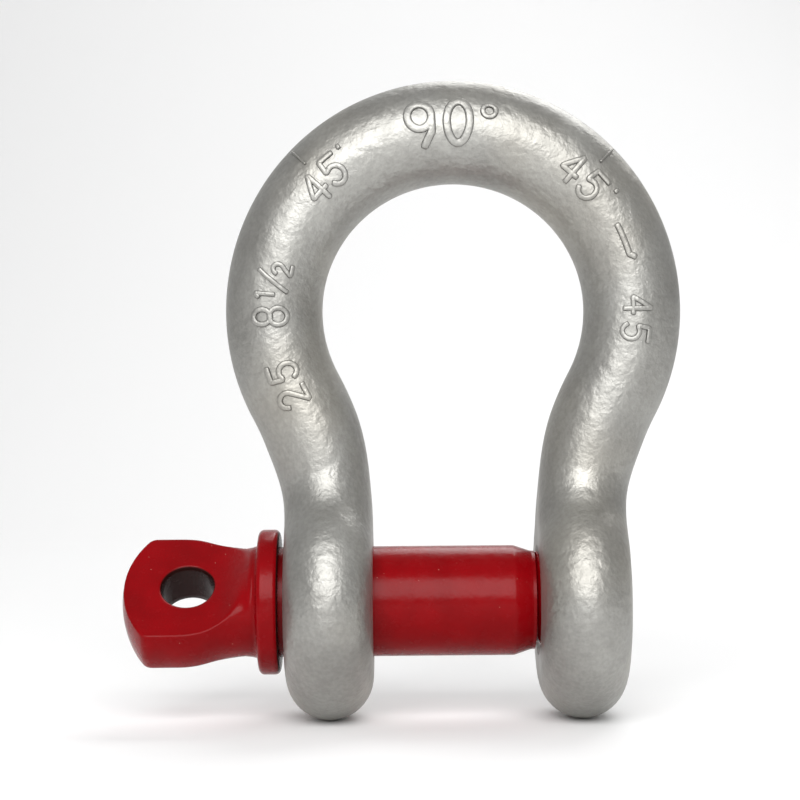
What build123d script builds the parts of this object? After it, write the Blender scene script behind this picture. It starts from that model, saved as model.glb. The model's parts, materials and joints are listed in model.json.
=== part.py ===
from build123d import *
import os
from math import acos, atan2, cos, pi, radians, sin, sqrt, tan

# A screw-pin bow shackle, in millimetres.
# The origin is on the pin's axis, midway between the two ears.
# +X runs along the pin towards the tapped ear, and +Z up to the crown of the bow.

# ---- Bow ----
bow_inside_width = 68.3  # widest opening between the bow's two sides
inside_length = 94.5  # from the pin's surface to the inside of the crown
jaw_width = 42.9  # between the facing sides of the two ears
side_thickness = 25.2  # bar at the bow's sides, in the plane of the bow
crown_thickness = 26.9  # bar at the crown, in the plane of the bow
neck_thickness = 23.0  # bar where it leaves the ears, in the plane of the bow
bar_depth = 26.0  # bar, square to the plane of the bow
ear_diameter = 61.5
ear_thickness = 22.75
ear_rim_flat = 0.35  # left across the top of an ear's nearly full-round rim
neck_start = 20.0  # height above the pin's axis at which the bar leaves an ear
neck_curve_radius = 70.8  # of the bar's middle line where it bends out from an ear to the bow
ear_fillet = 15.0  # hollow between an ear's rim and the bar, seen along the pin
bore_clearance = 1.6  # by which the plain ear's bore is wider than the pin
bore_chamfer = 0.8

# ---- Pin ----
pin_diameter = 28.6
neck_step = 0.2  # by which the neck behind the collar is wider than the pin
collar_diameter = 37.7
collar_thickness = 5.5
collar_rounding = 1.4
collar_fit = 0.05  # radial and end gap between the collar and the pin inside it
unscrewed_gap = 1.5  # between the collar and the plain ear, with the pin half a turn slack
shoulder_gap = 6.3  # from the end of the full-size shank to the tapped ear
shoulder_length = 4.4  # cone from the shank down to the thread
land_length = 1.0  # plain ring before the first thread groove
land_step = 0.1  # by which that ring stands above the thread
end_recess = 0.5  # of the pin's end below the tapped ear's outside, screwed home
end_chamfer = 1.5

# ---- Thread of the pin and of the tapped ear ----
thread_diameter = 25.4
thread_pitch = 3.175
thread_clearance = 0.15  # between the pin's thread and the ear's, outwards and along the pin
thread_lead = 0.9  # from the first ridge, below the axis, to the end of the plain ring
mouth_width = 3.6  # by which the tapped hole's countersink is wider than the thread
flank_slope = tan(radians(30))
thread_depth = 0.6134 * thread_pitch  # as the standard for such threads gives it
crest_width = thread_pitch / 8
ridge_root = 0.1  # of a ridge sunk in the core that it is joined to

# ---- Eye ----
eye_width = 35.5
eye_thickness = 12.5
eye_hole_diameter = 14.0
eye_reach = 18.4  # from the collar's outside to the middle of the eye's hole
eye_tip = 17.2  # from the middle of the hole to the eye's tip
eye_end_radius = 27.0
eye_corner_radius = 3.0
plain_neck = 2.8  # beside the collar, before the neck swells into the eye
eye_swell = 18.0  # length over which the neck swells to the eye's width
flat_runout_radius = 12.0  # hollow that ends each flat of the eye
flat_runout_gap = 2.5  # between that hollow and the collar
hole_chamfer = 0.6
eye_tilt = 47.0  # the eye's face leans back from upright by this many degrees

# ---- Places that follow ----
pin_radius = pin_diameter / 2
neck_radius = (pin_diameter + neck_step) / 2
bore_radius = (pin_diameter + bore_clearance) / 2
ear_radius = ear_diameter / 2
ear_inside = jaw_width / 2
ear_middle = ear_inside + ear_thickness / 2
ear_outside = ear_inside + ear_thickness
bow_radius = (bow_inside_width + side_thickness) / 2
bow_height = pin_radius + inside_length + crown_thickness / 2 - bow_radius

collar_face = -ear_outside - unscrewed_gap
collar_back = collar_face - collar_thickness
shoulder_start = ear_inside - shoulder_gap
shoulder_end = shoulder_start + shoulder_length
land_end = shoulder_end + land_length
pin_end = ear_outside - end_recess - unscrewed_gap
thread_start = land_end - thread_lead - thread_pitch
crest_radius = thread_diameter / 2
root_radius = crest_radius - thread_depth
tapped_radius = root_radius + 2 * thread_clearance
eye_middle = collar_back - eye_reach


def round_bar(radius, start, end):
    """A cylinder about the pin's axis, from one place along it to another."""
    return Pos((start + end) / 2, 0, 0) * Rot(0, 90, 0) * Cylinder(radius, end - start)


def cone_along_pin(start_radius, end_radius, start, end):
    """A cone about the pin's axis."""
    return Pos((start + end) / 2, 0, 0) * Rot(0, 90, 0) * Cone(start_radius, end_radius, end - start)


def thread_ridge(base, crest, crest_half, start, end):
    """A right-hand helical ridge about the pin's axis, which starts below it."""
    base_half = crest_half + (crest - base) * flank_slope
    helix = Helix(thread_pitch, end - start, base)
    section = Plane(origin=helix @ 0, x_dir=(1, 0, 0), z_dir=helix % 0) * make_face(
        Polyline(
            (0, -base_half),
            (crest - base, -crest_half),
            (crest - base, crest_half),
            (0, base_half),
            close=True,
        )
    )
    ridge = sweep(section, path=helix, is_frenet=True)
    return Pos(start, 0, 0) * Rot(0, 90, 0) * ridge


# ---- Bow ----


def smooth_step(value, low, high):
    """0 below low, 1 above high, and a smooth S between."""
    share = min(max((value - low) / (high - low), 0), 1)
    return share * share * (3 - 2 * share)


class NeckCurve:
    """The bar's middle line from an ear up to the bow: an arc that starts in the middle of the
    ear, at the lean that makes it meet the bow's arc smoothly."""

    rise = bow_height - neck_start
    centres_apart = bow_radius + neck_curve_radius
    share = (centres_apart**2 - ear_middle**2 - rise**2 - neck_curve_radius**2) / (
        2 * neck_curve_radius * sqrt(ear_middle**2 + rise**2)
    )
    lean = atan2(rise, ear_middle) - acos(share)
    centre_x = ear_middle + neck_curve_radius * cos(lean)
    centre_z = neck_start - neck_curve_radius * sin(lean)
    turn = atan2(bow_height - centre_z, centre_x)


class EarHollow:
    """Seen along the pin, the arc that joins an ear's round rim to the side of the bar."""

    middle = bar_depth / 2 + ear_fillet
    top = sqrt((ear_radius + ear_fillet) ** 2 - middle**2)
    bottom = top * ear_radius / (ear_radius + ear_fillet)


def depth_at(height):
    """The bar's size square to the plane of the bow, at a height above the pin's axis."""
    if height < EarHollow.bottom:
        return 2 * sqrt(ear_radius**2 - height**2)
    if height < EarHollow.top:
        return 2 * (EarHollow.middle - sqrt(ear_fillet**2 - (EarHollow.top - height) ** 2))
    return bar_depth


def oval(x, z, lean, thickness, depth):
    """An oval section of the bar, square to its middle line. lean is the direction of its
    thickness, in the plane of the bow, as an angle from +X."""
    points_round = 16
    outward = Vector(cos(lean), 0, sin(lean))
    inward = Vector(0, 1, 0)
    turns = [2 * pi * k / points_round for k in range(points_round)]
    points = [
        Vector(x, 0, z) + outward * (thickness / 2 * cos(t)) + inward * (depth / 2 * sin(t))
        for t in turns
    ]
    places = [k / points_round for k in range(points_round + 1)]
    return Wire(Edge.make_spline(points, periodic=True, parameters=places))


def neck_sections():
    """The right-hand side's sections, from inside the ear up to the bow's arc."""
    steps = 12
    inside_ear = 0.98  # the first sections stay this much inside the ear
    sections = []
    for k in range(steps):
        angle = NeckCurve.lean + (NeckCurve.turn - NeckCurve.lean) * k / steps
        x = NeckCurve.centre_x - neck_curve_radius * cos(angle)
        z = NeckCurve.centre_z + neck_curve_radius * sin(angle)
        spread = smooth_step(z, neck_start, EarHollow.top)
        start_thickness = inside_ear * ear_thickness
        thickness = start_thickness + (neck_thickness - start_thickness) * spread
        shrink = inside_ear + (1 - inside_ear) * smooth_step(z, EarHollow.bottom, EarHollow.top)
        sections.append((x, z, -angle, thickness, depth_at(z) * shrink))
    return sections


def bow_arc_sections():
    """The sections round the bow's arc, from the right-hand neck over the crown to the left."""
    steps = 14
    arc_start = bow_height - bow_radius * sin(NeckCurve.turn)
    sections = []
    for k in range(steps + 1):
        angle = -NeckCurve.turn + (pi + 2 * NeckCurve.turn) * k / steps
        x = bow_radius * cos(angle)
        z = bow_height + bow_radius * sin(angle)
        below_side = (side_thickness - neck_thickness) * smooth_step(z, arc_start, bow_height)
        above_side = (crown_thickness - side_thickness) * max(sin(angle), 0) ** 2
        sections.append((x, z, angle, neck_thickness + below_side + above_side, depth_at(z)))
    return sections


def make_bar():
    """The round bar, bent into the bow, with its two ends inside the ears."""
    right = neck_sections()
    left = [(-x, z, pi - lean, t, d) for x, z, lean, t, d in reversed(right)]
    return Solid.make_loft([oval(*section) for section in right + bow_arc_sections() + left])


def make_ear(side):
    """A thick disc across the pin's axis, with a nearly full-round rim."""
    inner, outer = sorted((side * ear_inside, side * ear_outside))
    blank = round_bar(ear_radius, inner, outer)
    return fillet(blank.edges().filter_by(GeomType.CIRCLE), (ear_thickness - ear_rim_flat) / 2)


def make_plain_bore():
    """The cutter for the plain ear's bore, with a chamfer at each mouth."""
    beyond = 2.0
    mouth = bore_radius + bore_chamfer + beyond
    chamfer_depth = bore_chamfer + beyond
    drill = round_bar(bore_radius, -ear_outside - beyond, -ear_inside + beyond)
    outer = cone_along_pin(
        mouth, bore_radius, -ear_outside - beyond, -ear_outside - beyond + chamfer_depth
    )
    inner = cone_along_pin(
        bore_radius, mouth, -ear_inside + beyond - chamfer_depth, -ear_inside + beyond
    )
    return drill + outer + inner


def make_tap():
    """The cutter for the tapped ear: its core, the thread's groove and a countersink. The core
    is longer than the groove at both ends, through open air."""
    beyond = 2.0
    clear_crest = crest_radius + thread_clearance
    clear_half = crest_width / 2 + thread_clearance
    ridge_end = ear_outside + 2 * thread_pitch
    core = round_bar(tapped_radius, thread_start - thread_pitch, ridge_end + thread_pitch)
    ridge = thread_ridge(
        tapped_radius - ridge_root, clear_crest, clear_half, thread_start, ridge_end
    )
    mouth = crest_radius + mouth_width / 2 + beyond
    entry_start = ear_inside - beyond
    entry = cone_along_pin(
        mouth, tapped_radius, entry_start, entry_start + mouth - tapped_radius
    )
    exit_end = ear_outside + beyond
    exit_mouth = clear_crest + bore_chamfer / 2 + beyond
    way_out = cone_along_pin(
        tapped_radius, exit_mouth, exit_end - exit_mouth + tapped_radius, exit_end
    )
    return core + ridge + entry + way_out


def make_shackle_bow():
    """The bow and its two ears, forged in one."""
    bow = make_bar() + make_ear(1) + make_ear(-1)
    return bow - make_plain_bore() - make_tap()


# ---- Collar ----


def make_pin_collar():
    """The round collar that stops the pin against the plain ear."""
    beyond = 1.0
    ring = round_bar(collar_diameter / 2, collar_back, collar_face)
    ring = fillet(ring.edges().filter_by(GeomType.CIRCLE), collar_rounding)
    return ring - round_bar(pin_radius + collar_fit, collar_back - beyond, collar_face + beyond)


# ---- Screw pin ----


def eye_outline():
    """Half the eye's round outline, from its tip to the collar."""
    near = 0.01
    half_width = eye_width / 2
    tip = eye_middle - eye_tip
    end_middle = tip + eye_end_radius
    corner = end_middle - sqrt(eye_end_radius**2 - half_width**2)
    swell_end = collar_back - collar_fit - plain_neck
    swell_start = swell_end - eye_swell
    swell_middle = (swell_start + swell_end) / 2
    end_arc = RadiusArc((tip, 0), (corner, half_width), eye_end_radius)
    side = Line((corner, half_width), (swell_start, half_width))
    swell = Bezier(
        (swell_start, half_width),
        (swell_middle, half_width),
        (swell_middle, neck_radius),
        (swell_end, neck_radius),
    )
    neck = Line((swell_end, neck_radius), (collar_back - collar_fit, neck_radius))
    back = Polyline(neck @ 1, (collar_back - collar_fit, 0), (tip, 0))
    half = make_face([end_arc, side, swell, neck, back])
    corners = [v for v in half.vertices() if abs(v.X - corner) < near and v.Y > neck_radius]
    return fillet(corners, eye_corner_radius)


def flat_cutter():
    """The cutter for one flat of the eye, with a hollow run-out towards the collar."""
    reach = eye_width
    beyond = 1.0
    flat = eye_thickness / 2
    tip = eye_middle - eye_tip - beyond
    runout_end = collar_back - flat_runout_gap
    rise = neck_radius - flat
    runout = sqrt(flat_runout_radius**2 - (flat_runout_radius - rise) ** 2)
    flat_end = runout_end - runout
    hollow = RadiusArc((flat_end, flat), (runout_end, neck_radius), -flat_runout_radius)
    edges = [
        Line((tip, flat), (flat_end, flat)),
        hollow,
        Polyline((runout_end, neck_radius), (runout_end + beyond, reach), (tip, reach), (tip, flat)),
    ]
    return extrude(Plane.XY * make_face(edges), reach, both=True)


def make_eye():
    """The flattened eye and its neck, before it leans back."""
    eye = revolve(Plane.XY * eye_outline(), Axis.X, 360)
    cutter = flat_cutter()
    eye = eye - cutter - mirror(cutter, Plane.XZ)
    hole_radius = eye_hole_diameter / 2
    beyond = 1.0
    mouth = hole_radius + hole_chamfer + beyond
    hole = Cylinder(hole_radius, eye_thickness + 2 * beyond)
    for end in (1, -1):
        countersink = Cone(hole_radius, mouth, mouth - hole_radius)
        place = eye_thickness / 2 + beyond - (mouth - hole_radius) / 2
        hole += Rot(0 if end > 0 else 180, 0, 0) * Pos(0, 0, place) * countersink
    return eye - Pos(eye_middle, 0, 0) * Rot(90, 0, 0) * hole


def make_thread():
    """The pin's thread on its core, turned off at the pin's end with a chamfer."""
    core = round_bar(root_radius, shoulder_start, pin_end + thread_pitch)
    ridge = thread_ridge(
        root_radius - ridge_root, crest_radius, crest_width / 2, thread_start, pin_end + thread_pitch
    )
    blank = round_bar(pin_radius, shoulder_start, pin_end)
    end_edge = blank.edges().filter_by(GeomType.CIRCLE).sort_by(Axis.X)[-1]
    return (core + ridge) & chamfer(end_edge, pin_radius - crest_radius + end_chamfer)


def make_shank():
    """The full-size shank, its shoulder and the plain ring that the thread runs out of."""
    land_radius = crest_radius + land_step
    plain = round_bar(pin_radius, collar_back - collar_fit, shoulder_start)
    shoulder = cone_along_pin(pin_radius, land_radius, shoulder_start, shoulder_end)
    return plain + shoulder + round_bar(land_radius, shoulder_end, land_end)


def make_screw_pin():
    """The eye, the shank and the thread, forged and cut in one."""
    leaned_eye = Rot(-eye_tilt, 0, 0) * make_eye()
    return leaned_eye + make_shank() + make_thread()


parts = {
    "shackle_bow": make_shackle_bow(),
    "pin_collar": make_pin_collar(),
    "screw_pin": make_screw_pin(),
}
os.makedirs("parts", exist_ok=True)
for name, shape in parts.items():
    export_step(shape, f"parts/{name}.step")
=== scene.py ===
"""Looks of a galvanised bow shackle with a red screw pin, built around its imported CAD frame."""

import json

import bpy
import numpy as np
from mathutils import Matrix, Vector


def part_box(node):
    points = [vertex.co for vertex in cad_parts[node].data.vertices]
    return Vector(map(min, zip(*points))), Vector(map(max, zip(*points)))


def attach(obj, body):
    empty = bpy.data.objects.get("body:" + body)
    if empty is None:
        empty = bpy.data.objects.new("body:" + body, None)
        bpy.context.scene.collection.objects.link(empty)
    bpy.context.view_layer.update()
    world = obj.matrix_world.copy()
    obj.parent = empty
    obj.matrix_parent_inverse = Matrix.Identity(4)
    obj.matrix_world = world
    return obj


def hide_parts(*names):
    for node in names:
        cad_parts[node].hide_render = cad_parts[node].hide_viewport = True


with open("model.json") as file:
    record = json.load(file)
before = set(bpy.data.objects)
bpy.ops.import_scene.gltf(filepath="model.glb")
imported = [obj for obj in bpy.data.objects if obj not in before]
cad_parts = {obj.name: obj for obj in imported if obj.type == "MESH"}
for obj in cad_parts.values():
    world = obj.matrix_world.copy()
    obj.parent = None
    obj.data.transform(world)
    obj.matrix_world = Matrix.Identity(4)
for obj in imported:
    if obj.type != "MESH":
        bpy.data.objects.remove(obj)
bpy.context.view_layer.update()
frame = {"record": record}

bl_info = {
    "name": "Bow Shackle",
    "version": (1, 0, 0),
    "blender": (4, 5, 0),
    "location": "3D View > Sidebar > Shackle",
    "description": "Makes a forged bow shackle and its screw pin around a packed frame",
    "category": "Object",
}

MM = 0.001
PI = np.pi
TAU = 2 * np.pi

# ---- Places and sizes that the frame gives ----

MOUNTS = {m["name"]: m for m in frame["record"]["mounts"]}
BOW_LOW, BOW_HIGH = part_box("shackle_bow")
COLLAR_LOW, COLLAR_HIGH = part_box("pin_collar")
PIN_LOW, PIN_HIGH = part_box("screw_pin")
JAW_WIDTH = MOUNTS["pin_seat"]["dims"]["length_mm"] * MM
PIN_RADIUS = MOUNTS["pin_seat"]["dims"]["r_mm"] * MM
CROWN_INSIDE = MOUNTS["bow_crown"]["pos_m"][2]
EYE_MIDDLE = MOUNTS["eye_hole"]["pos_m"][0]
EYE_HOLE_RADIUS = MOUNTS["eye_hole"]["dims"]["r_mm"] * MM
EYE_NORMAL = np.array(MOUNTS["eye_hole"]["axis"])
THREAD_PITCH = TAU / abs(frame["record"]["behaviour"]["couplings"][0]["ratio"])


# ---- Sizes and colours that a user would change ----


def length(name, description, millimetres):
    """A length, shown in the scene's units."""
    default = millimetres * MM
    return bpy.props.FloatProperty(
        name=name, description=description, default=default, unit="LENGTH", subtype="DISTANCE", precision=5
    )


def colour(name, description, default):
    """A linear colour."""
    return bpy.props.FloatVectorProperty(
        name=name, description=description, default=default, size=3, min=0, max=1, subtype="COLOR"
    )


class BowSizes(bpy.types.PropertyGroup):
    ear_thickness: length("Ear Thickness", "Thickness of each ear along the pin", 22.75)
    neck_thickness: length("Neck Thickness", "Bar above an ear, in the plane of the bow", 23.0)
    side_thickness: length("Side Thickness", "Bar at the bow's sides, in its plane", 25.2)
    bar_depth: length("Bar Depth", "Bar square to the plane of the bow", 26.0)
    neck_start: length("Neck Start", "Height above the pin at which the bar leaves an ear", 20.0)
    ear_hollow: length("Ear Hollow", "Radius that joins an ear's rim to the bar", 15.0)
    bore_radius: length("Bore Radius", "Plain ear's bore", 15.1)
    bore_chamfer: length("Bore Chamfer", "Chamfer at the mouths of the plain bore", 0.8)
    tapped_mouth: length("Tapped Mouth", "Radius of the countersink inside the tapped ear", 14.5)
    tapped_exit: length("Tapped Exit", "Radius of the tapped hole's outer mouth", 13.25)
    thread_clearance: length("Thread Clearance", "Gap between the pin's thread and the ear's", 0.15)


class PinSizes(bpy.types.PropertyGroup):
    neck_radius: length("Neck Radius", "Neck between the eye and the collar", 14.4)
    eye_half_width: length("Eye Half Width", "Half the eye's width across its face", 18.0)
    eye_half_thickness: length("Eye Half Thickness", "Half the eye between its two flats", 6.25)
    eye_end_radius: length("Eye End Radius", "Rounding of the eye's end", 27.0)
    eye_corner_radius: length("Eye Corner Radius", "Rounding of the eye's corners", 3.0)
    eye_swell: length("Eye Swell", "Length over which the neck swells to the eye", 18.0)
    plain_neck: length("Plain Neck", "Neck beside the collar, before the swell", 2.85)
    runout_radius: length("Run-out Radius", "Hollow that ends each flat of the eye", 12.0)
    runout_gap: length("Run-out Gap", "Between that hollow and the collar", 2.5)
    hole_chamfer: length("Hole Chamfer", "Chamfer round the eye's hole", 0.3)
    collar_rounding: length("Collar Rounding", "Rounding of the collar's rims", 1.4)
    collar_root: length("Collar Root", "Hollow between the neck and the collar", 1.3)
    shoulder_start: length("Shoulder Start", "End of the full-size shank", 15.15)
    shoulder_end: length("Shoulder End", "End of the cone below the shank", 19.55)
    shoulder_easing: length("Shoulder Easing", "Rounding of the cone's two edges", 0.9)
    land_end: length("Land End", "End of the plain ring before the thread", 20.55)
    land_radius: length("Land Radius", "Plain ring before the thread", 12.8)
    thread_start: length("Thread Start", "Place of the first ridge, below the pin's axis", 16.475)
    crest_radius: length("Crest Radius", "Outer radius of the thread", 12.7)
    root_radius: length("Root Radius", "Radius at the bottom of the thread", 10.752)
    crest_width: length("Crest Width", "Flat top of a ridge", 0.397)
    end_chamfer: length("End Chamfer", "Chamfer of the thread's end", 1.5)


class MarkSizes(bpy.types.PropertyGroup):
    height: length("Numeral Height", "Height of the raised numerals", 7.6)
    stroke: length("Stroke Width", "Width of a numeral's stroke", 1.5)
    relief: length("Relief", "How far the numerals stand out of the bow", 0.7)


class Finishes(bpy.types.PropertyGroup):
    steel: colour("Steel", "Galvanised steel", (0.375, 0.371, 0.350))
    steel_dark: colour("Dark Steel", "Duller patches of the galvanising", (0.295, 0.29, 0.272))
    # painted shade: a near-black colour for the crease round each numeral, standing in for its shadow
    crease_shade: colour("Crease", "Dull zinc in the crease round a numeral", (0.07, 0.069, 0.066))
    enamel: colour("Enamel", "Red enamel of the pin", (0.22, 0.0, 0.002))
    enamel_dark: colour("Dark Enamel", "Thicker patches of the enamel", (0.18, 0.0, 0.0015))
    speck: colour("Speck", "Dust caught in the enamel", (0.5, 0.22, 0.18))
    # painted shade: near-black for the inside of the eye's hole and the collar's face by the ear, standing in
    # for their shadow
    painted_shade_colour: colour("Bare Metal", "Metal of the eye's hole and of the collar's face", (0.022, 0.006, 0.005))
    floor: colour("Floor", "Pale floor and backdrop", (0.93, 0.93, 0.93))


class StageSizes(bpy.types.PropertyGroup):
    floor_width: length("Floor Width", "Width of the pale floor", 6000.0)
    floor_front: length("Floor Front", "From the shackle to the floor's front edge", 2500.0)
    wall_distance: length("Wall Distance", "From the shackle to the backdrop", 1200.0)
    wall_height: length("Wall Height", "Height of the backdrop", 2400.0)
    wall_bend: length("Wall Bend", "Radius between the floor and the backdrop", 500.0)
    camera_distance: length("Camera Distance", "From the bow's plane to the camera", 550.0)
    frame_width: length("Frame Width", "Width that the camera sees at the bow's plane", 209.2)
    camera_side: length("Camera Side", "Camera's place along the pin", -14.05)
    camera_height: length("Camera Height", "Camera's height above the pin", 52.5)
    camera_roll: bpy.props.FloatProperty(
        name="Camera Roll", description="Clockwise lean of the camera", default=0.0087, subtype="ANGLE"
    )


# ---- Meshes ----


def quads(index, closed=True):
    """Faces between neighbouring rows and columns of a grid of vertex numbers. The last column
    meets the first when the grid is closed."""
    right = np.roll(index, -1, axis=1) if closed else index[:, 1:]
    left = index if closed else index[:, :-1]
    return np.stack([left[:-1], right[:-1], right[1:], left[1:]], axis=-1)


def pole_fans(index):
    """Triangles that close a grid at both ends, at two poles that are numbered after its points."""
    first, last = index[0], index[-1]
    start = np.stack([np.full(len(first), index.size), np.roll(first, -1), first], axis=-1)
    return [start, np.stack([last, np.roll(last, -1), np.full(len(last), index.size + 1)], axis=-1)]


def grid_index(first, rows, columns):
    """Vertex numbers of a grid whose first vertex has the number first."""
    return first + np.arange(rows * columns).reshape(rows, columns)


def patch_ring(index, row_low, row_high, columns):
    """Vertex numbers round the edge of a square patch of a grid, in order."""
    up, down = np.arange(row_low, row_high), np.arange(row_high, row_low, -1)
    first, last = columns[0], columns[-1]
    return np.concatenate(
        [
            index[row_low, columns[:-1]],
            index[up, last],
            index[row_high, columns[:0:-1]],
            index[down, first],
        ]
    )


def bore(points, index, keep, rows, columns, wall, middle, axis):
    """Leaves a patch of faces out of a grid on both sides of a hole, and joins the two with the
    hole's wall, whose faces are turned to its axis. The axis runs along x, y or z, 0, 1 or 2,
    through its middle. It returns every point and the wall's faces."""
    keep[slice(*rows), columns[0][:-1]] = False
    keep[slice(*rows), columns[1][1:]] = False
    first, last = (patch_ring(index, *rows, c) for c in columns)
    rings = np.vstack([first, grid_index(len(points), *wall.shape[:2]), last])
    points = np.concatenate([points, wall.reshape(-1, 3)])
    tube = quads(rings).reshape(-1, 4)
    a, b, c, _ = (points[tube[:, k]] for k in range(4))
    inward = middle - (a + c) / 2
    inward[:, axis] = 0
    faces_axis = (np.cross(b - a, c - b) * inward).sum() > 0
    return points, tube if faces_axis else tube[:, ::-1]


def smooth_step(value, low, high):
    """0 below low, 1 above high, and a smooth S between."""
    part = np.clip((value - low) / (high - low), 0, 1)
    return part * part * (3 - 2 * part)


def line(*places):
    """Points of a line through some places."""
    return np.array(places, float)


def arc(x, y, width, height, start, end, steps=14):
    """Points of an oval arc, between two angles in degrees."""
    angle = np.radians(np.linspace(start, end, steps))
    return np.stack([x + width * np.cos(angle), y + height * np.sin(angle)], axis=-1)


def add_piece(name, points, faces, body, material, sharp_angle):
    """A mesh object in the frame, with only the points that its faces use. Faces is a list of
    arrays of triangles and of quads. Edges sharper than the angle are kept crisp."""
    used = np.unique(np.concatenate([f.ravel() for f in faces]))
    renumber = np.full(len(points), -1)
    renumber[used] = np.arange(len(used))
    rows = [row for f in faces for row in renumber[f.reshape(-1, f.shape[-1])].tolist()]
    mesh = bpy.data.meshes.new(name)
    mesh.from_pydata(points[used].tolist(), [], rows)
    mesh.update()
    if mesh.validate():
        raise RuntimeError(f"{name} has faces that a mesh can't hold")
    mesh.polygons.foreach_set("use_smooth", np.ones(len(mesh.polygons), bool))
    mesh.set_sharp_from_angle(angle=sharp_angle)
    mesh.materials.append(material)
    piece = bpy.data.objects.new(name, mesh)
    bpy.context.scene.collection.objects.link(piece)
    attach(piece, body)
    return piece


def points_of(piece):
    """A piece's points, as rows of x, y and z."""
    places = np.empty(len(piece.data.vertices) * 3)
    piece.data.vertices.foreach_get("co", places)
    return places.reshape(-1, 3)


def add_share(piece, name, values):
    """A share from 0 to 1 at each point of a piece, for its material to read."""
    piece.data.attributes.new(name, "FLOAT", "POINT").data.foreach_set("value", values)


# ---- Bow ----

COLUMNS = 128  # round the bar
FACE_COLUMNS = 8  # each side of a bore, across the patch of an ear's face that the bore takes
FACE_HALF = 12 * MM  # half the height of that patch
PATCH_REACH = 1.65  # how far the rows round a bore bend, as a share of the patch
POLE_STEPS = 12  # rows over the rounding of an ear's lowest point
ROW_STEP = 1 * MM  # between rows in an ear
BAR_STEP = 1.2 * MM  # between rows in the bar
TAPPED_ROWS = 92  # across the tapped ear's bore
PLAIN_ROWS = 12  # across the plain ear's bore
LEG_TAPER = (26 * MM, 46 * MM)  # where the neck thickens to the bow's side
RIM_TAPER = (14 * MM, 44 * MM)  # where an ear's round rim becomes the bar's oval
SEARCH_REACH = 1.6  # how far out the section is looked for, as a share of its half width
HALVINGS = 36  # of that reach
NEAR = 1e-9
THREAD_FLANK = np.tan(np.radians(30))  # along the pin for each unit of depth


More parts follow.
